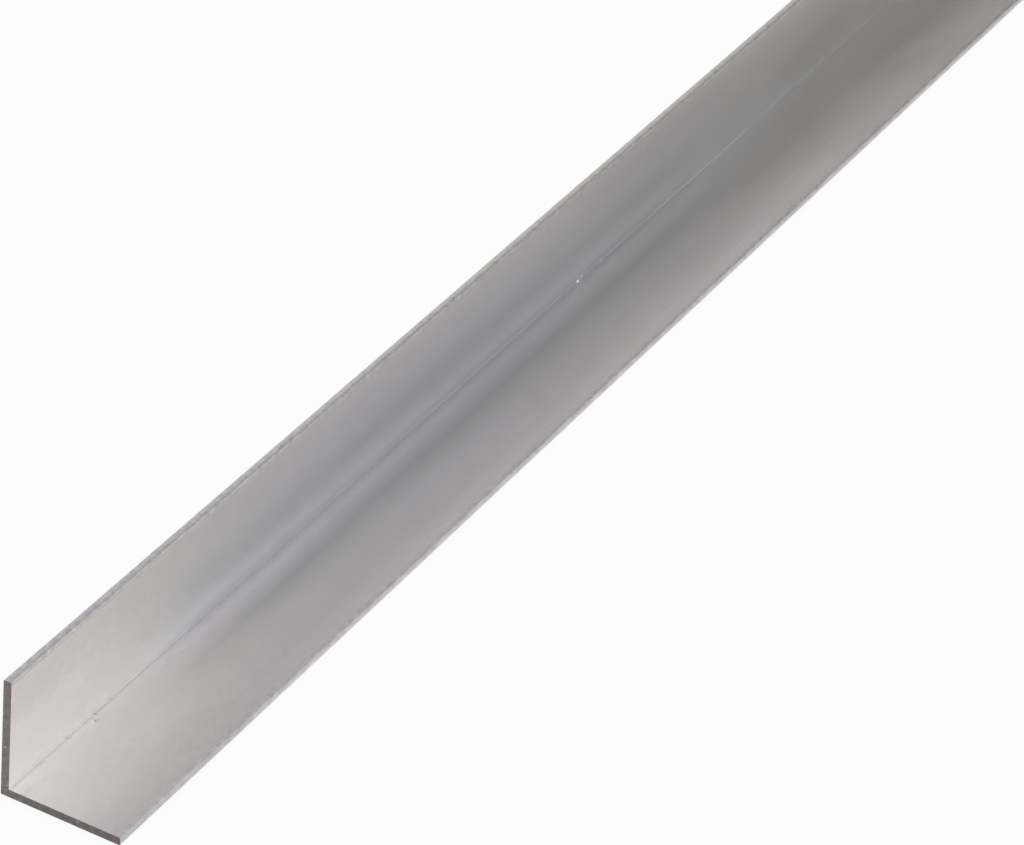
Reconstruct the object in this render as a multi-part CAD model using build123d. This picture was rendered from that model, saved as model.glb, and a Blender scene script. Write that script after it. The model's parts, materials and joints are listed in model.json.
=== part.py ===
from build123d import *
import os

# Equal-leg aluminium angle section, a plain extruded bar sawn square at both ends.
# It lies on the outer face of one leg, with the other leg upright along its -X side.
# Frame, in millimetres: +X across the flat leg from heel to toe, +Y along the bar, +Z up.
# Origin: the middle of the face that the bar lies on.

# Driving dimensions
LEG = 30.0           # outside width of each leg, from the heel to the toe
WALL = 2.0           # wall thickness, the same in both legs
LENGTH = 1000.0      # length of the bar between its sawn ends
HEEL_RADIUS = 0.3    # outside corner where the two legs meet
TOE_RADIUS = 0.2     # both long edges of each toe
ROOT_RADIUS = 0.1    # the nearly sharp inside corner

# The section's lines, across the bar (x) and up (z)
heel_x = -LEG / 2
inner_x = heel_x + WALL
toe_x = heel_x + LEG
toe_radius = min(TOE_RADIUS, WALL / 3)  # a thin toe keeps a third of its thickness flat


def rounded(section, radius, *places):
    """The section with its corners at these places, given as (x, z), rounded to the radius."""
    corners = [section.vertices().sort_by_distance(place)[0] for place in places]
    return fillet(corners, radius)


def angle_profile():
    """The L section with its heel, root and toes rounded, on the XZ plane."""
    heel = (heel_x, 0)
    root = (inner_x, WALL)
    flat_toe = [(toe_x, 0), (toe_x, WALL)]
    upright_toe = [(inner_x, LEG), (heel_x, LEG)]
    section = make_face(Polyline(heel, *flat_toe, root, *upright_toe, close=True))
    section = rounded(section, HEEL_RADIUS, heel)
    section = rounded(section, ROOT_RADIUS, root)
    section = rounded(section, toe_radius, *flat_toe, *upright_toe)
    return Plane.XZ * section


def angle_section():
    """The bar: its section extruded both ways from the origin, to its whole length."""
    return extrude(angle_profile(), amount=LENGTH / 2, both=True)


os.makedirs("parts", exist_ok=True)
export_step(angle_section(), "parts/angle_section.step")
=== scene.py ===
"""The looks of an aluminium equal-leg angle section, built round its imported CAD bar."""

import json
import math
from types import SimpleNamespace

import bmesh
import bpy
import numpy as np
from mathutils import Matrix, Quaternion, Vector


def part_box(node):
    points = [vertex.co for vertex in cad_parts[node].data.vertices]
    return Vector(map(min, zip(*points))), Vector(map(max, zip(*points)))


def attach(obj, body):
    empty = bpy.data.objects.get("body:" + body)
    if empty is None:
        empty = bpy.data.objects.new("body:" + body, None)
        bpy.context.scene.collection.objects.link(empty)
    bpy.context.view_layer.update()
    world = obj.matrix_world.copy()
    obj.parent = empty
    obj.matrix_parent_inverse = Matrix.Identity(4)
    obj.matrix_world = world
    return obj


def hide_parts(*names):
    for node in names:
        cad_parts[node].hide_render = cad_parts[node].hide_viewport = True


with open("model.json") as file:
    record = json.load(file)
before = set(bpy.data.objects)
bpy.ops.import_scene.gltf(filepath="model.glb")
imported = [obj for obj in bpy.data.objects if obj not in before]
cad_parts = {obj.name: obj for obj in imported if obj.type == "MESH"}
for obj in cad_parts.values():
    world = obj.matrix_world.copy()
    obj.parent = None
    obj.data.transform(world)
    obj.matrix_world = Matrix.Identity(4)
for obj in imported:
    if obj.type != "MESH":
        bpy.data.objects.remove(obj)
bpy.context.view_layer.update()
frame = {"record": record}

# The bar's sizes, read from the frame, in metres
MM = 0.001
low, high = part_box("angle_section")
mount_places = {mount["name"]: mount["pos_m"] for mount in frame["record"]["mounts"]}
wall = mount_places["flat_leg_inside"][2] - low.z
inner_x, inner_z = low.x + wall, low.z + wall  # the inner faces of the upright and the flat leg
half_length = (high.y - low.y) / 2
middle_y = (high.y + low.y) / 2

# Rounded edges of the extrusion, as in the CAD section
HEEL_RADIUS = 0.3 * MM
ROOT_RADIUS = 0.1 * MM
TOE_RADIUS = 0.2 * MM
TOE_SLOPE = 5.0  # degrees that a toe's gentle crown leans over at each of its edges

# How finely the mesh is divided
ARC_STEP = 12.0  # degrees round each rounded edge
CROWN_STEP = 3.0  # degrees round the crown of each toe
FACE_STEP = 1.1 * MM  # across the rest of each leg
FINE_STEP = 0.2 * MM  # across the inner faces close to the root
FINE_REACH = 3.0 * MM  # how far from the root the fine steps go
SUPPORT = 0.04 * MM  # a column this close to each rounded edge keeps the flat beside it flat
BAR_STEP = 4.0 * MM  # along the bar, away from its ends and the pits
NEAR_END = np.array([0.0, 0.05, 0.7, 1.5, 2.5]) * MM  # the stations within a step of each end
PIT_STATIONS = np.linspace(-2.0, 2.0, 17)  # the stations round each pit, in its radii

# The faces' gentle unevenness: waves that cross, each with its two wavelengths within these ranges
UNEVENNESS = 0.004 * MM
WAVES = 9
WAVE_ACROSS = (14, 60)  # mm, round the section
WAVE_ALONG = (35, 160)  # mm, along the bar
WAVE_SHARE = 3  # one wave's height is this many times less than the unevenness

# Small pits by the root, with a painted highlight on the light ones and painted shade on the dark
# ones:
# (distance along the bar from its near end, distance from the root, on which leg, radius, depth,
# change in brightness), in millimetres
PITS = [
    (21.8, 0.1, "upright", 0.45, 0.020, -0.15),
    (25.6, 1.1, "upright", 0.35, 0.020, 0.10),
    (28.7, 1.1, "upright", 0.40, 0.030, 0.20),
    (29.3, 1.3, "flat", 0.35, 0.020, 0.20),
    (30.2, 1.8, "flat", 0.40, 0.030, -0.30),
    (32.4, 0.4, "flat", 0.45, 0.030, -0.25),
    (38.8, 0.2, "flat", 0.40, 0.020, -0.15),
    (247.2, 0.2, "upright", 0.50, 0.045, 0.25),
    (249.2, 0.6, "upright", 0.45, 0.035, 0.25),
    (259.2, 0.3, "upright", 0.45, 0.030, 0.20),
    (302.5, 0.9, "upright", 0.60, 0.030, -0.15),
    (310.0, 0.2, "upright", 0.60, 0.030, -0.15),
]
PIT_RIM = 0.3  # how high the rim round each pit is, as a share of its depth
PIT_RIM_AT = 1.1  # how far out the rim is, in the pit's radii
PIT_PAINTED_SPOT = 0.9  # half width of each pit's painted highlight, or its painted shade if it is dark, in the pit's radii

# Faint streaks along the inner faces, partly the die's marks and partly painted reflection; the dark
# streak at the root of each leg is painted shade: (leg, distance from the root and half width
# in millimetres, change in brightness)
STREAKS = [
    ("upright", 0.0, 1.7, -0.14),
    ("upright", 4.0, 2.0, 0.04),
    ("upright", 10.0, 3.6, -0.08),
    ("upright", 19.5, 4.0, 0.03),
    ("flat", 0.0, 1.2, -0.055),
    ("flat", 3.0, 1.3, 0.05),
    ("flat", 7.7, 2.0, -0.11),
    ("flat", 13.2, 2.4, 0.04),
    ("flat", 20.0, 3.0, -0.03),
    ("flat", 26.5, 2.5, 0.06),
]
STREAKS_IN = (48.0, 92.0)  # where along the bar they fade in, in millimetres from its near end
STREAKS_OUT = (260.0, 330.0)  # and where they fade out again

# Lighter and darker patches on the inner faces, partly the metal's own tone and partly painted
# reflection and painted shade: (leg, distance from the near end, distance from the root, half length,
# half width, change in brightness), in millimetres
PATCHES = [
    ("upright", 8.0, 21.0, 14.0, 5.0, -0.06),
    ("upright", 53.0, 1.5, 20.0, 4.5, 0.07),
    ("upright", 135.0, 2.0, 25.0, 3.0, 0.04),
    ("upright", 72.0, 14.0, 12.0, 3.0, -0.04),
    ("upright", 370.0, 8.0, 22.0, 6.0, -0.08),
    ("upright", 290.0, 24.0, 60.0, 6.0, -0.09),
    ("upright", 250.0, 28.0, 30.0, 1.8, -0.08),
    ("flat", 3.0, 1.0, 10.0, 4.0, -0.09),
    ("flat", 25.0, 26.0, 25.0, 4.0, 0.04),
    ("flat", 42.0, 12.0, 14.0, 4.0, 0.07),
    ("flat", 150.0, 1.8, 45.0, 2.2, 0.045),
    ("flat", 138.0, 13.0, 18.0, 3.0, 0.03),
    ("flat", 135.0, 9.0, 20.0, 3.0, 0.05),
    ("flat", 160.0, 15.0, 15.0, 5.0, 0.03),
    ("flat", 250.0, 21.0, 15.0, 5.0, 0.05),
    ("flat", 265.0, 9.0, 30.0, 3.0, 0.06),
    ("flat", 310.0, 26.0, 60.0, 4.0, 0.06),
    ("flat", 335.0, 25.0, 15.0, 4.0, 0.05),
    ("flat", 370.0, 13.0, 14.0, 5.0, 0.06),
    ("flat", 405.0, 17.0, 15.0, 9.0, -0.06),
]
FAR_PAINTED_SHADE = 0.04  # painted shade: the upright leg is this much darker beyond DIM_FROM, in mm from the near end
DIM_FROM = (230.0, 290.0)

# From here on, a pair named for where something fades is where the fade starts and ends. It is in
# millimetres from the near end for ..._ALONG, from the root for ..._FROM_ROOT and inwards from a
# leg's tip for ..._TIP, and it is a share of the wall, from the outer face, for ..._ACROSS.

# The root: painted shade, as a thin, dashed dark line beside it near the end and a dark arc all along
# it
SHADE_LINE = 0.045
SHADE_LINE_ENDS_ALONG = (70.0, 110.0)
SHADE_LINE_FROM_ROOT = (0.3, 0.9)
DASH_DEPTH = 0.3
DASH_PACES = (0.9, 2.3)  # radians a millimetre
ROOT_DARK = 0.20
ROOT_EASES = 0.05  # the arc is this much less dark further along
ROOT_EASES_ALONG = (55.0, 75.0)
ROOT_DEEPENS = 0.16  # and this much darker again at the far end
ROOT_DEEPENS_ALONG = (300.0, 380.0)
ROOT_FROM_ROOT = (0.1, 0.16)

# The flat leg's toe: painted shade makes it darker than the faces, and a painted reflection makes it
# lighter along its lower edge than along its upper one, where painted shade darkens it
FLAT_TOE_TIP = (0.3, 0.1)
FLAT_TOE_DARK = 0.33
FLAT_TOE_DARK_TIP = (0.22, 0.05)
FLAT_TOE_LOWER = 0.20
FLAT_TOE_UPPER = -0.12
FLAT_TOE_LOWER_EDGE = 0.4 * MM  # how far up the lower edge's tone reaches
FLAT_TOE_NEAR = 0.3  # how much of that difference there is at the near end
FLAT_TOE_GROWS_ALONG = (20.0, 70.0)
FLAT_TOE_PATCH = (160.0, 70.0, 0.06)  # distance along, half length and change in brightness

# The upright leg's toe: painted highlight towards its outer edge, painted shade at its inner one and
# below it
UPRIGHT_TOE_TIP = (0.5, 0.3)
OUTER_LIGHT = 0.10
OUTER_LIGHT_FURTHER = 0.22  # added further along
OUTER_LIGHT_ALONG = (30.0, 180.0)
OUTER_LIGHT_ACROSS = (0.45, 0.75)
INNER_DARK = 0.06
INNER_DARK_ALONG = (10.0, 200.0)
INNER_DARK_ACROSS = (0.6, 0.8)
BELOW_TOE_DARK = 0.29
BELOW_TOE_TIP = (1.2, 0.5)
BELOW_TOE_ACROSS = 0.95  # only the inner face, beyond this share of the wall, has it

TOE_DULLNESS = 0.16  # how much rougher the toes are than the faces
TOE_DULLNESS_TIP = (0.38, 0.22)

# Faint casts of colour, partly the metal's own tint and partly painted reflection colour: how much
# each one changes red, green and blue where its amount is 1
CASTS = {
    "warm": (0.0, -1.0, -0.8),
    "green": (-1.0, 0.0, -1.6),
    "blue": (0.0, 0.0, 1.0),
    "rose": (0.0, -1.0, -0.7),
    # painted reflection colour on the upright toe and just below it inside
    "upright_toe": (-0.02, 0.02, 0.0),
    "below_toe": (0.05, 0.0, -0.06),
}
WARM_FROM_ROOT = [(0.008, 12.0, 18.0), (0.014, 21.0, 26.0)]  # amount, start and end
GREEN_FLAT = (0.013, 10.0, 6.0)  # amount, distance from the root and half width
BLUE_ROOT = (0.025, 85.0, 40.0, 9.0)  # amount, distance along, half length and half width
BLUE_END = (0.03, 12.0)  # amount and half length, at the near end
BLUE_FAR = 0.03  # on the flat leg
BLUE_FAR_FROM_ROOT = (14.0, 24.0)
BLUE_FAR_ALONG = (200.0, 330.0)
BLUE_TOE = 0.12  # painted reflection colour on the upright toe
BLUE_TOE_LOST = 0.10  # of it, at the inner edge
BLUE_TOE_LOST_ACROSS = (0.7, 0.95)
BLUE_OUTER = 0.08  # added to its outer edge further along
BLUE_OUTER_ACROSS = (0.3, 0.5)
BLUE_OUTER_ALONG = (130.0, 230.0)
ROSE_TOE = 0.05  # on the flat toe

SEED = 7


# ---- Nodes ----


def node(tree, kind, settings=None, **values):
    """A new node: settings are its own properties, and values are its inputs, as numbers or links.

    An input is named by its name, with _ for a space, or by its number after an i.
    """
    made = tree.nodes.new(kind)
    for name, value in (settings or {}).items():
        setattr(made, name, value)
    for name, value in values.items():
        key = int(name[1:]) if name[0] == "i" and name[1:].isdigit() else name.replace("_", " ")
        if isinstance(value, bpy.types.NodeSocket):
            tree.links.new(value, made.inputs[key])
        else:
            made.inputs[key].default_value = value
    return made


def calculate(tree, operation, *values):
    """A Math node's result."""
    inputs = {f"i{n}": value for n, value in enumerate(values)}
    return node(tree, "ShaderNodeMath", {"operation": operation}, **inputs).outputs[0]


def ramp(tree, value, from_low, from_high, to_low=0.0, to_high=1.0, kind="SMOOTHSTEP"):
    """The value taken from one range to another, smoothly, and held at both ends."""
    inputs = {"i0": value, "i1": from_low, "i2": from_high, "i3": to_low, "i4": to_high}
    return node(tree, "ShaderNodeMapRange", {"interpolation_type": kind}, **inputs).outputs[0]


def blend(tree, share, first, second):
    """One colour going over to another as share goes from 0 to 1."""
    mixed = node(tree, "ShaderNodeMix", {"data_type": "RGBA"}, Factor=share, i6=first, i7=second)
    return mixed.outputs[2]


def combine(tree, operation, first, **others):
    """A Vector Math node's vector, from a first vector and its other inputs."""
    made = node(tree, "ShaderNodeVectorMath", {"operation": operation}, i0=first, **others)
    return made.outputs[0]


def grey(level):
    """A neutral colour."""
    return (level, level, level, 1.0)


def new_material(name):
    """A material whose surface isn't made yet, as (material, node tree, output node)."""
    material = bpy.data.materials.new(name)
    material.use_nodes = True
    tree = material.node_tree
    tree.nodes.clear()
    return material, tree, tree.nodes.new("ShaderNodeOutputMaterial")


def new_metal(name):
    """A metal with a Principled shader, as (material, node tree, shader node)."""
    material, tree, output = new_material(name)
    shader = tree.nodes.new("ShaderNodeBsdfPrincipled")
    shader.inputs["Metallic"].default_value = 1.0
    tree.links.new(shader.outputs[0], output.inputs["Surface"])
    return material, tree, shader


# ---- Materials ----

# Noise is stretched along the row frame's axes: the smaller the number, the longer it is there
EVEN = (1.0, 1.0, 1.0)
DIE_LINES = (1.0, 0.004, 1.0)
LONG_CLOUDS = (1.0, 0.35, 1.0)
LONG_GRAIN = (1.0, 0.6, 1.0)
SAW_MARKS = (0.25, 1.0, 1.0)

# Mill finish. The tone is the sum of the die lines and clouds, and it goes over this range
FINE_LINES_SHARE = 0.45
CLOUDS_SHARE = 0.8
TONE_RANGE = (0.7, 1.55)
MILL_COLOURS = (grey(0.725), grey(0.775))
MILL_ROUGHNESS = (0.245, 0.225)
STRETCH_ACROSS = 0.96  # how much the fine die lines stretch reflections across the bar
GRAIN_ON_TOES = 0.9  # depth of the toes' grain, for each unit of dullness
GRAIN_EVERYWHERE = 0.02

# Sawn ends
SAWN_COLOURS = ((0.16, 0.141, 0.141, 1.0), (0.25, 0.227, 0.226, 1.0))
SAWN_TONE_RANGE = (0.75, 1.35)
SAWN_ROUGHNESS = (0.5, 0.38)
SPECK_COLOUR = (0.6, 0.58, 0.57, 1.0)
SPECKS_ABOVE = (0.72, 0.82)  # where the noise makes a speck
SPECK_STRENGTH = 0.7
SAWN_DIM = 0.80  # brightness of the flat leg's end, where the heel's is 1
SAWN_DIM_REACH = 12 * MM  # how far from the heel it gets there


def stretched_noise(tree, stretch, scale, detail):
    """Noise in the row frame, with the frame's axes scaled by stretch first."""
    place = node(tree, "ShaderNodeTexCoord").outputs["Object"]
    mapped = node(tree, "ShaderNodeMapping", Vector=place, Scale=stretch).outputs[0]
    return node(tree, "ShaderNodeTexNoise", Vector=mapped, Scale=scale, Detail=detail).outputs[0]


def vertex_value(tree, name, output):
    """A value that build_bar() stored at the mesh's vertices."""
    return node(tree, "ShaderNodeAttribute", {"attribute_name": name}).outputs[output]


def mill_aluminium():
    """Extruded and left as it came: satin, with die lines along the bar and a faint cloudiness."""
    material, tree, shader = new_metal("mill_aluminium")
    fine_lines = stretched_noise(tree, DIE_LINES, scale=2600.0, detail=2.0)
    broad_lines = stretched_noise(tree, DIE_LINES, scale=420.0, detail=2.0)
    clouds = stretched_noise(tree, LONG_CLOUDS, scale=60.0, detail=3.0)
    lines = calculate(tree, "MULTIPLY_ADD", fine_lines, FINE_LINES_SHARE, broad_lines)
    tone = calculate(tree, "MULTIPLY_ADD", clouds, CLOUDS_SHARE, lines)
    colour = blend(tree, ramp(tree, tone, *TONE_RANGE, kind="LINEAR"), *MILL_COLOURS)
    # The vertex tone holds painted shade, highlights and reflections as well as the metal's own tone
    shaded = combine(tree, "MULTIPLY", colour, i1=vertex_value(tree, "metal_tone", "Color"))

    dull = vertex_value(tree, "dullness", "Fac")
    grain = stretched_noise(tree, LONG_GRAIN, scale=900.0, detail=2.0)
    grain = ramp(tree, grain, 0.3, 0.7, -1.0, 1.0, "LINEAR")
    grain_depth = calculate(tree, "MULTIPLY_ADD", dull, GRAIN_ON_TOES, GRAIN_EVERYWHERE)
    mottle = calculate(tree, "MULTIPLY_ADD", grain, grain_depth, 1.0)
    tree.links.new(combine(tree, "SCALE", shaded, Scale=mottle), shader.inputs["Base Color"])

    satin = ramp(tree, tone, *TONE_RANGE, *MILL_ROUGHNESS, "LINEAR")
    tree.links.new(calculate(tree, "ADD", satin, dull), shader.inputs["Roughness"])
    shader.inputs["Anisotropic"].default_value = STRETCH_ACROSS
    across = node(tree, "ShaderNodeTangent", {"direction_type": "RADIAL", "axis": "Y"})
    tree.links.new(across.outputs[0], shader.inputs["Tangent"])
    bump = node(tree, "ShaderNodeBump", Strength=0.12, Distance=0.01 * MM, Height=fine_lines)
    tree.links.new(bump.outputs[0], shader.inputs["Normal"])
    return material


def sawn_aluminium():
    """The sawn ends: dull and dark, with fine saw marks and a few bright specks."""
    material, tree, shader = new_metal("sawn_aluminium")
    marks = stretched_noise(tree, SAW_MARKS, scale=5000.0, detail=2.0)
    patches = stretched_noise(tree, EVEN, scale=700.0, detail=3.0)
    tone = calculate(tree, "ADD", marks, patches)
    dark = blend(tree, ramp(tree, tone, *SAWN_TONE_RANGE, kind="LINEAR"), *SAWN_COLOURS)
    fine = stretched_noise(tree, EVEN, scale=1300.0, detail=0.0)
    specks = ramp(tree, fine, *SPECKS_ABOVE, 0.0, SPECK_STRENGTH)
    speckled = blend(tree, specks, dark, SPECK_COLOUR)
    place = node(tree, "ShaderNodeTexCoord").outputs["Object"]
    across = node(tree, "ShaderNodeSeparateXYZ", Vector=place).outputs[0]
    lightness = ramp(tree, across, low.x, low.x + SAWN_DIM_REACH, 1.0, SAWN_DIM)
    tree.links.new(combine(tree, "SCALE", speckled, Scale=lightness), shader.inputs["Base Color"])
    rough = ramp(tree, patches, 0.3, 0.7, *SAWN_ROUGHNESS, "LINEAR")
    tree.links.new(rough, shader.inputs["Roughness"])
    bump = node(tree, "ShaderNodeBump", Strength=0.5, Distance=0.04 * MM, Height=marks)
    tree.links.new(bump.outputs[0], shader.inputs["Normal"])
    return material


# ---- The bar's mesh ----


def spaced(start, end, step):
    """Numbers from start to end, both included, no further apart than step."""
    return np.linspace(start, end, max(2, math.ceil(abs(end - start) / step) + 1))


def flat_run(start, end, fine=None):
    """Points (x, z, normal x, normal z) along a flat, from start to end, with the metal on the left.

    fine says which FINE_REACH of it has the fine steps: its "first", its "last" or none.
    """
    start, end = np.array(start), np.array(end)
    length = np.linalg.norm(end - start)
    way = (end - start) / length
    inner = spaced(SUPPORT, length - SUPPORT, FACE_STEP)
    if fine:
        near = spaced(SUPPORT, FINE_REACH, FINE_STEP)
        inner = np.concatenate([near, spaced(FINE_REACH, length - SUPPORT, FACE_STEP)[1:]])
    if fine == "last":
        inner = length - inner[::-1]
    normal = (way[1], -way[0])
    return [(*(start + way * s), *normal) for s in (0.0, *inner, length)]


def arc_run(centre, radius, start, end):
    """Points round a rounded edge, from one angle to another in degrees, without its two ends."""
    angles = np.radians(spaced(start, end, ARC_STEP)[1:-1])
    outwards = 1.0 if end > start else -1.0
    return [
        (
            centre[0] + radius * math.cos(a),
            centre[1] + radius * math.sin(a),
            outwards * math.cos(a),
            outwards * math.sin(a),
        )
        for a in angles
    ]


def toe_profile():
    """One toe's points and its setback, the distance from the tip at which its rounding starts.

    A point is (outward from the tip, across the toe, and the same two for the normal). The toe's two
    edges are rounded, and between them it's gently crowned.
    """
    slope = math.radians(TOE_SLOPE)
    middle = wall / 2 - TOE_RADIUS
    crown = middle / math.sin(slope) + TOE_RADIUS
    setback = crown * (1 - math.cos(slope)) + TOE_RADIUS * math.cos(slope)
    points = []
    for side, start, end in ((-1, -90, -TOE_SLOPE), (0, -TOE_SLOPE, TOE_SLOPE), (1, TOE_SLOPE, 90)):
        radius = TOE_RADIUS if side else crown
        angles = np.radians(spaced(start, end, ARC_STEP if side else CROWN_STEP))
        for angle in angles if side else angles[1:-1]:
            outward = radius * math.cos(angle) - (setback if side else crown)
            across = side * middle + radius * math.sin(angle)
            points.append((outward, across, math.cos(angle), math.sin(angle)))
    return points[1:-1], setback


def section_outline():
    """The L section's outline, anticlockwise seen from the near end, as x, z and outward normal."""
    heel, root = HEEL_RADIUS, ROOT_RADIUS
    toe, setback = toe_profile()
    flat_middle, upright_middle = low.z + wall / 2, low.x + wall / 2
    rows = flat_run((low.x + heel, low.z), (high.x - setback, low.z))
    rows += [(high.x + out, flat_middle + side, n_out, n_side) for out, side, n_out, n_side in toe]
    rows += flat_run((high.x - setback, inner_z), (inner_x + root, inner_z), "last")
    rows += arc_run((inner_x + root, inner_z + root), root, 270, 180)
    rows += flat_run((inner_x, inner_z + root), (inner_x, high.z - setback), "first")
    rows += [(upright_middle - side, high.z + out, -n_side, n_out) for out, side, n_out, n_side in toe]
    rows += flat_run((low.x, high.z - setback), (low.x, low.z + heel))
    rows += arc_run((low.x + heel, low.z + heel), heel, 180, 270)
    return np.array(rows)


def bar_stations():
    """Places along the bar, in metres from its middle, closer together by the ends and the pits."""
    inner = half_length - BAR_STEP
    stops = [*spaced(-inner, inner, BAR_STEP), *(NEAR_END - half_length), *(half_length - NEAR_END)]
    for along, _, _, radius, _, _ in PITS:
        centre = -half_length + along * MM
        stops.extend(centre + PIT_STATIONS * radius * MM)
    return np.unique(np.round(stops, 7))


def waves(across, along, rng):
    """A gentle unevenness, as a height of about one, over both directions."""
    height = 0.0
    for _ in range(WAVES):
        wave_across = rng.uniform(*WAVE_ACROSS) * MM
        wave_along = rng.uniform(*WAVE_ALONG) * MM
        start = rng.uniform(0, 2 * math.pi)
        turn = 2 * math.pi * (across / wave_across + along / wave_along) + start
        height = height + np.sin(turn) / WAVE_SHARE
    return height


def near_pits(x, y, z):
    """For each pit: its depth, how many of its radii away each point is, and the brightness change of
    its painted highlight or shade.
    """
    for along, from_root, leg, radius, deep, change in PITS:
        off = from_root * MM if leg == "flat" else 0.0
        centre_x = inner_x + off
        centre_z = inner_z + from_root * MM - off
        centre_y = middle_y - half_length + along * MM
        away = np.sqrt((x - centre_x) ** 2 + (y - centre_y) ** 2 + (z - centre_z) ** 2)
        yield deep * MM, away / (radius * MM), change


def pits(x, y, z):
    """How far the surface sinks at the small pits, with the slight rim round each of them."""
    depth = 0.0
    for deep, away, _ in near_pits(x, y, z):
        rim = PIT_RIM * np.exp(-6 * (away - PIT_RIM_AT) ** 2)
        depth = depth + deep * (np.exp(-2 * away**2) - rim)
    return depth


# ---- The metal's tone over the bar ----


def bell(offset, half_width):
    """1 in the middle of a streak or patch, and about a third at its half width."""
    return np.exp(-((offset / half_width) ** 2))


def smooth_step(value, start, end):
    """0 below start and 1 above end, going smoothly from one to the other."""
    share = np.clip((value - start) / (end - start), 0.0, 1.0)
    return share * share * (3 - 2 * share)


def near_tip(value, tip, fade):
    """0 on a leg and 1 at its tip; fade is where that starts and ends, in mm inwards from the tip."""
    start, end = fade
    return smooth_step(value, tip - start * MM, tip - end * MM)


def bar_places(x, y, z):
    """Where each point is, in millimetres, and how much it is on each part of the bar, 0 to 1."""
    at = SimpleNamespace(x=x, y=y, z=z)
    at.along = (y - middle_y + half_length) / MM
    at.from_root = np.maximum(x - inner_x, z - inner_z) / MM
    at.inside = (x > inner_x - 0.01 * MM) & (z > inner_z - 0.01 * MM)
    on_flat = at.inside & (z - inner_z < x - inner_x)
    at.on_leg = {"flat": on_flat, "upright": at.inside & ~on_flat}
    at.across_toe = (x - low.x) / wall
    at.flat_toe = near_tip(x, high.x, FLAT_TOE_TIP)
    at.upright_toe = near_tip(z, high.z, UPRIGHT_TOE_TIP)
    at.below_toe = near_tip(z, high.z, BELOW_TOE_TIP) * (at.across_toe > BELOW_TOE_ACROSS)
    return at


def face_tone(at):
    """Brightness of the inner faces: streaks and patches, partly painted reflection and shade, painted
    shade far along the upright, and the pits' painted highlights and shade.
    """
    tone = np.ones_like(at.x)
    present = smooth_step(at.along, *STREAKS_IN) * (1 - smooth_step(at.along, *STREAKS_OUT))
    for leg, place, width, change in STREAKS:
        tone += change * present * bell(at.from_root - place, width) * at.on_leg[leg]
    for leg, middle, place, length, width, change in PATCHES:
        shape = bell(at.along - middle, length) * bell(at.from_root - place, width)
        tone += change * shape * at.on_leg[leg]
    # painted shade further along the upright leg
    tone -= FAR_PAINTED_SHADE * smooth_step(at.along, *DIM_FROM) * at.on_leg["upright"]
    # painted highlights and shade at the pits
    for _, away, change in near_pits(at.x, at.y, at.z):
        tone += change * bell(away, PIT_PAINTED_SPOT)
    return tone


def root_tone(at):
    """Painted shade by the root: its thin dashed dark line and its dark arc, and 1 away from them."""
    dashes = 1 + sum(DASH_DEPTH * np.sin(at.along * pace) for pace in DASH_PACES)
    shade_line = SHADE_LINE * (1 - smooth_step(at.along, *SHADE_LINE_ENDS_ALONG)) * dashes
    from_shade_line = np.hypot(at.x - inner_x - ROOT_RADIUS, at.z - inner_z) / MM
    # painted shade: the dark arc in the root's corner
    arc = ROOT_DARK - ROOT_EASES * smooth_step(at.along, *ROOT_EASES_ALONG)
    arc += ROOT_DEEPENS * smooth_step(at.along, *ROOT_DEEPENS_ALONG)
    tone = 1.0 - shade_line * (1 - smooth_step(from_shade_line, *SHADE_LINE_FROM_ROOT))
    return tone * (1.0 - arc * at.inside * (1 - smooth_step(at.from_root, *ROOT_FROM_ROOT)))


def flat_toe_tone(at):
    """Brightness of the flat leg's toe, with its painted shade and painted reflection, and 1 away from
    it.
    """
    grown = FLAT_TOE_NEAR + (1 - FLAT_TOE_NEAR) * smooth_step(at.along, *FLAT_TOE_GROWS_ALONG)
    up = smooth_step(at.z, low.z + FLAT_TOE_LOWER_EDGE, inner_z)
    # painted reflection along the lower edge, painted shade along the upper one
    lean = grown * (FLAT_TOE_LOWER + (FLAT_TOE_UPPER - FLAT_TOE_LOWER) * up)
    middle, length, change = FLAT_TOE_PATCH
    tone = 1.0 - FLAT_TOE_DARK * near_tip(at.x, high.x, FLAT_TOE_DARK_TIP)
    return tone * (1.0 + at.flat_toe * (lean + change * bell(at.along - middle, length)))


def upright_toe_tone(at):
    """Painted highlight and painted shade on the upright leg's toe and just below it inside, and 1
    away from them.
    """
    light = OUTER_LIGHT + OUTER_LIGHT_FURTHER * smooth_step(at.along, *OUTER_LIGHT_ALONG)
    light = light * (1 - smooth_step(at.across_toe, *OUTER_LIGHT_ACROSS))
    dark = INNER_DARK * smooth_step(at.along, *INNER_DARK_ALONG)
    dark = dark * smooth_step(at.across_toe, *INNER_DARK_ACROSS)
    return (1.0 + at.upright_toe * (light - dark)) * (1.0 - BELOW_TOE_DARK * at.below_toe)


def blue_amount(at):
    """How much of the blue cast there is by the root, the near end and far along, and on the toe,
    where it is painted reflection colour.
    """
    amount, middle, length, width = BLUE_ROOT
    blue = amount * bell(at.along - middle, length) * bell(at.from_root, width) * at.inside
    amount, length = BLUE_END
    blue += amount * bell(at.along, length) * at.inside
    far = smooth_step(at.from_root, *BLUE_FAR_FROM_ROOT) * smooth_step(at.along, *BLUE_FAR_ALONG)
    blue += BLUE_FAR * far * at.on_leg["flat"]
    toe = BLUE_TOE - BLUE_TOE_LOST * smooth_step(at.across_toe, *BLUE_TOE_LOST_ACROSS)
    outer = 1 - smooth_step(at.across_toe, *BLUE_OUTER_ACROSS)
    toe += BLUE_OUTER * outer * smooth_step(at.along, *BLUE_OUTER_ALONG)
    return blue + at.upright_toe * toe


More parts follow.
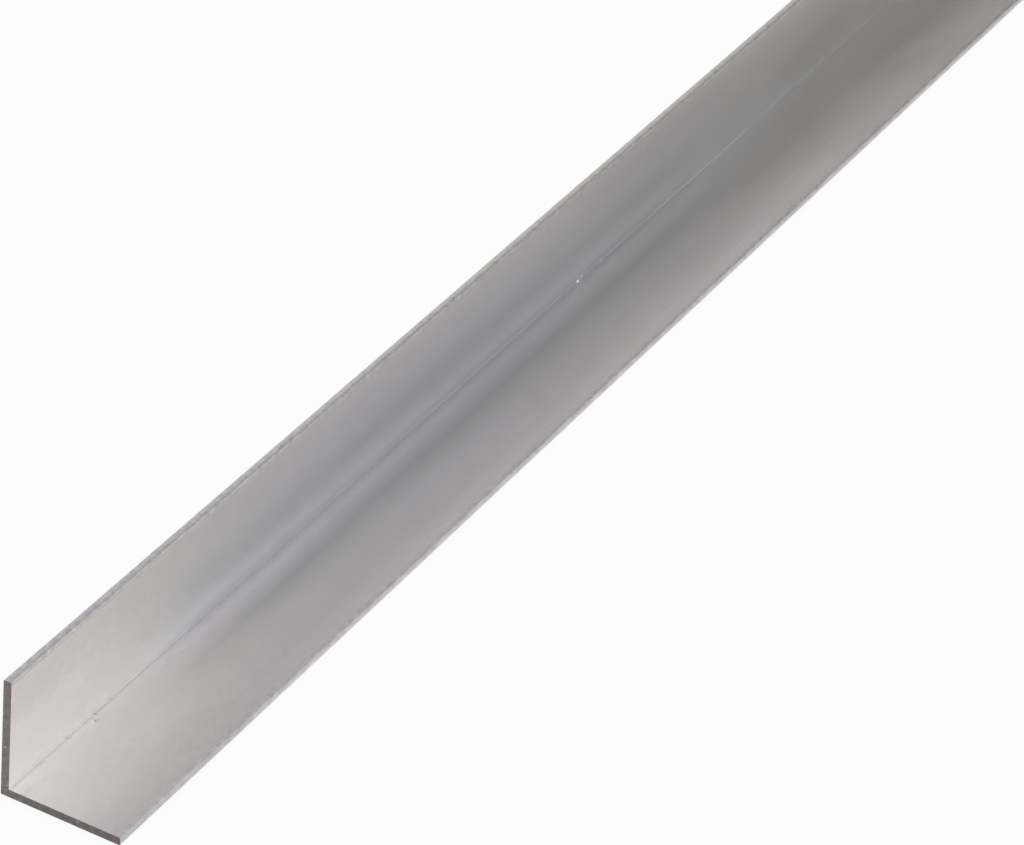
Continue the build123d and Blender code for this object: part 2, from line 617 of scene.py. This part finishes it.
def tint(at):
    """The red, green and blue shares at each point, all about 1: the metal is nearly neutral, and the
    casts are partly painted reflection colour.
    """
    warm = sum(amount * smooth_step(at.from_root, *reach) for amount, *reach in WARM_FROM_ROOT)
    amount, place, width = GREEN_FLAT
    amounts = {
        "warm": warm * at.inside,
        "green": amount * bell(at.from_root - place, width) * at.on_leg["flat"],
        "blue": blue_amount(at),
        "rose": ROSE_TOE * at.flat_toe,
        "upright_toe": at.upright_toe,
        "below_toe": at.below_toe,
    }
    return 1 + sum(np.multiply.outer(amounts[name], cast) for name, cast in CASTS.items())


def metal_tone(x, y, z):
    """What the metal's colour is multiplied by at each point, painted shade, highlights and
    reflections included: red, green, blue and a plain 1.
    """
    at = bar_places(x, y, z)
    tone = face_tone(at) * root_tone(at) * flat_toe_tone(at) * upright_toe_tone(at)
    return np.concatenate([tone[..., None] * tint(at), np.ones((*x.shape, 1))], axis=-1)


def dullness(x, z):
    """How much rougher the metal is at each point than on the legs' faces."""
    flat_toe = near_tip(x, high.x, TOE_DULLNESS_TIP)
    upright_toe = near_tip(z, high.z, TOE_DULLNESS_TIP)
    return TOE_DULLNESS * np.maximum(flat_toe, upright_toe)


# ---- The bar ----


def build_bar():
    """The whole bar as one mesh, swept along its stations, with its sawn ends."""
    rng = np.random.default_rng(SEED)
    outline = section_outline()
    stations = bar_stations()
    x = np.tile(outline[:, 0], (len(stations), 1))
    z = np.tile(outline[:, 1], (len(stations), 1))
    y = np.repeat(stations[:, None], len(outline), 1) + middle_y
    normal_x, normal_z = outline[:, 2], outline[:, 3]
    around = np.concatenate([[0.0], np.cumsum(np.hypot(*np.diff(outline[:, :2], axis=0).T))])
    relief = -UNEVENNESS * (1 + waves(around[None, :], y, rng)) - pits(x, y, z)
    x += relief * normal_x
    z += relief * normal_z

    mesh = bmesh.new()
    rings = [[mesh.verts.new(place) for place in zip(*row)] for row in zip(x, y, z)]
    for ring, further in zip(rings, rings[1:]):
        for n in range(len(outline)):
            m = (n + 1) % len(outline)
            mesh.faces.new((ring[n], ring[m], further[m], further[n]))
    for face in mesh.faces:
        face.smooth = True
    caps = [mesh.faces.new(rings[0][::-1]), mesh.faces.new(rings[-1])]
    for cap in caps:
        cap.material_index = 1
        for edge in cap.edges:
            edge.smooth = False
    bmesh.ops.recalc_face_normals(mesh, faces=mesh.faces)
    bmesh.ops.triangulate(mesh, faces=caps, ngon_method="EAR_CLIP")
    data = bpy.data.meshes.new("angle_bar")
    mesh.to_mesh(data)
    mesh.free()
    # The vertex tone, with its painted shade, highlights and reflections
    tone = data.attributes.new("metal_tone", "FLOAT_COLOR", "POINT")
    tone.data.foreach_set("color", metal_tone(x, y, z).ravel())
    dull = data.attributes.new("dullness", "FLOAT", "POINT")
    dull.data.foreach_set("value", dullness(x, z).ravel())
    data.materials.append(mill_aluminium())
    data.materials.append(sawn_aluminium())
    bar = bpy.data.objects.new("angle_bar", data)
    bpy.context.scene.collection.objects.link(bar)
    return bar


bar = build_bar()
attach(bar, "root")
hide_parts("angle_section")


# ---- Floor ----

FLOOR_REACH = 60.0  # metres, so that its far edge is lost in the pale surroundings
BACKGROUND = 1.0  # strength of the white that direct rays see, where 1 is white
SHADOW_SHARE = 0.10  # how much of the floor's tone is its own lit surface, which holds the shadow
FLOOR_COLOUR = grey(0.9)
FLOOR_GAP = 0.05 * MM  # below the bar, so that the two faces don't coincide
WHITE = grey(1.0)


def direct_rays(tree):
    """1 for rays that look at a thing directly, in a mirror or through glass, and 0 for the rest."""
    path = node(tree, "ShaderNodeLightPath").outputs
    seen = calculate(tree, "ADD", path["Is Camera Ray"], path["Is Glossy Ray"])
    return calculate(tree, "MINIMUM", calculate(tree, "ADD", seen, path["Is Transmission Ray"]), 1.0)


def build_floor():
    """A plain pale floor that keeps the bar's shadow."""
    material, tree, output = new_material("floor")
    lit = node(tree, "ShaderNodeBsdfDiffuse", Color=FLOOR_COLOUR)
    white = node(tree, "ShaderNodeEmission", Color=WHITE, Strength=BACKGROUND)
    share = calculate(tree, "MULTIPLY", direct_rays(tree), 1.0 - SHADOW_SHARE)
    mixed = node(tree, "ShaderNodeMixShader", i0=share, i1=lit.outputs[0], i2=white.outputs[0])
    tree.links.new(mixed.outputs[0], output.inputs["Surface"])
    data = bpy.data.meshes.new("floor")
    r, z = FLOOR_REACH, low.z - FLOOR_GAP
    data.from_pydata([(-r, -r, z), (r, -r, z), (r, r, z), (-r, r, z)], [], [(0, 1, 2, 3)])
    data.materials.append(material)
    floor = bpy.data.objects.new("floor", data)
    bpy.context.scene.collection.objects.link(floor)


build_floor()


# ---- Light: a plain studio painted on the world ----

# Directions are unit vectors in the row frame. A pair is where a light fades in or out: by elevation
# in degrees, or by the x, y or z of the direction.
WALL_TOP = (22, 38)  # degrees; a low wall of faint light ends here
SIDE_X = (0.40, 0.60)  # right of here the wall is brighter
LOW_TOP = (5, 9)  # degrees; the glow along its foot ends here
TOP_Z = (0.80, 0.97)  # the light overhead
RIGHT_BOX = {"azimuth": 67.5, "elevation": 66, "width": 59, "height": 100, "softness": 0.5}
LEFT_BOX = {"azimuth": -75, "elevation": 28.5, "width": 96, "height": 60, "softness": 6.0}
AMBIENT = (0.07, 0.0, 0.0)
WALL_LIGHT = (0.25, 0.28, 0.18)
SIDE_LIGHT = (0.95, 1.18, 1.46)
RIGHT_LIGHT = (1.49, 1.36, 1.16)
LEFT_LIGHT = (0.47, 0.51, 0.51)
TOP_LIGHT = (1.01, 1.01, 0.98)
LOW_LIGHT = (0.7, 0.7, 0.7)
BAND_IN_Y = (0.48, 0.58)  # the studio is a band of directions ahead, between these two
BAND_OUT_Y = (0.87, 0.93)
DIMMER_Y = (0.77, 0.81)  # within it, the lights are a little dimmer further ahead
DIMMER = (1.02, 0.94)
DOME_Z = (0.0, 0.9)  # everywhere else is a plain dome, a little lighter at its top
DOME_COLOURS = (grey(0.78), (1.03, 1.03, 1.02, 1.0))
HORIZON_TOP = (3, 8)  # degrees; the dome is white below here


def towards(azimuth, elevation):
    """The direction at an azimuth to the right of +Y and an elevation, both in degrees."""
    a, e = math.radians(azimuth), math.radians(elevation)
    return Vector((math.sin(a) * math.cos(e), math.cos(a) * math.cos(e), math.sin(e)))


def sines(angles):
    """The z of the directions at these elevations, in degrees."""
    return [math.sin(math.radians(angle)) for angle in angles]


def dot(tree, direction, axis):
    """How far the direction goes along an axis."""
    made = node(tree, "ShaderNodeVectorMath", {"operation": "DOT_PRODUCT"}, i0=direction, i1=axis)
    return made.outputs["Value"]


def softbox(tree, direction, azimuth, elevation, width, height, softness):
    """1 inside a rectangular soft light seen in that direction and 0 outside; all in degrees."""
    centre = towards(azimuth, elevation)
    side = centre.cross(Vector((0, 0, 1))).normalized()
    up = side.cross(centre)
    ahead = dot(tree, direction, centre)
    inside = calculate(tree, "GREATER_THAN", ahead, 0.01)
    depth = calculate(tree, "MAXIMUM", ahead, 0.01)
    for axis, size in ((side, width), (up, height)):
        offset = calculate(tree, "DIVIDE", dot(tree, direction, axis), depth)
        offset = calculate(tree, "ABSOLUTE", offset)
        inner = math.tan(math.radians(size / 2 - softness))
        outer = math.tan(math.radians(size / 2 + softness))
        inside = calculate(tree, "MULTIPLY", inside, ramp(tree, offset, inner, outer, 1.0, 0.0))
    return inside


def studio_lights(tree, direction, x, y, z):
    """The studio's light in each direction: a low wall, brighter to the right, and soft lights."""
    wall_glow = ramp(tree, z, *sines(WALL_TOP), 1.0, 0.0)
    lights = [
        (wall_glow, WALL_LIGHT),
        (calculate(tree, "MULTIPLY", wall_glow, ramp(tree, x, *SIDE_X)), SIDE_LIGHT),
        (softbox(tree, direction, **RIGHT_BOX), RIGHT_LIGHT),
        (softbox(tree, direction, **LEFT_BOX), LEFT_LIGHT),
        (ramp(tree, z, *TOP_Z), TOP_LIGHT),
        (ramp(tree, z, *sines(LOW_TOP), 1.0, 0.0), LOW_LIGHT),
    ]
    total = AMBIENT
    for amount, colour in lights:
        total = combine(tree, "ADD", total, i1=combine(tree, "SCALE", colour, Scale=amount))
    return combine(tree, "SCALE", total, Scale=ramp(tree, y, *DIMMER_Y, *DIMMER))


def build_world():
    """A plain pale dome with a white horizon, and the studio's lights in a band ahead."""
    world = bpy.data.worlds.new("studio")
    bpy.context.scene.world = world
    world.use_nodes = True
    tree = world.node_tree
    tree.nodes.clear()
    direction = node(tree, "ShaderNodeTexCoord").outputs["Generated"]
    x, y, z = node(tree, "ShaderNodeSeparateXYZ", Vector=direction).outputs
    dome = blend(tree, ramp(tree, z, *DOME_Z), *DOME_COLOURS)
    dome = blend(tree, ramp(tree, z, *sines(HORIZON_TOP), 1.0, 0.0), dome, WHITE)
    past_start, before_end = ramp(tree, y, *BAND_IN_Y), ramp(tree, y, *BAND_OUT_Y, 1.0, 0.0)
    band = calculate(tree, "MULTIPLY", past_start, before_end)
    lit = blend(tree, band, dome, studio_lights(tree, direction, x, y, z))
    background = node(tree, "ShaderNodeBackground", Color=lit)
    output = tree.nodes.new("ShaderNodeOutputWorld")
    tree.links.new(background.outputs[0], output.inputs["Surface"])


build_world()


# ---- Camera: the photograph's viewing angle ----

SENSOR = 36.0  # mm across the photograph's width
LENS = 171.6  # mm
VIEW_AZIMUTH = 26.595  # degrees; 0 looks along +Y and 90 along -X
VIEW_ELEVATION = 33.812
VIEW_ROLL = 5.447
AIM = Vector((4.718, -316.876, 2.0)) * MM  # where the middle of the picture meets the flat leg
DISTANCE = 1153.82 * MM


def build_camera():
    """The camera, as fitted to the photograph's edges, with no depth of field and no shift."""
    data = bpy.data.cameras.new("camera")
    data.sensor_width = SENSOR
    data.lens = LENS
    camera = bpy.data.objects.new("camera", data)
    bpy.context.scene.collection.objects.link(camera)
    back = -towards(-VIEW_AZIMUTH, -VIEW_ELEVATION)
    look = (-back).to_track_quat("-Z", "Y")
    camera.rotation_mode = "QUATERNION"
    camera.rotation_quaternion = look @ Quaternion((0, 0, 1), math.radians(VIEW_ROLL))
    camera.location = AIM + back * DISTANCE
    bpy.context.scene.camera = camera


build_camera()
bpy.context.scene.view_settings.view_transform = "Standard"
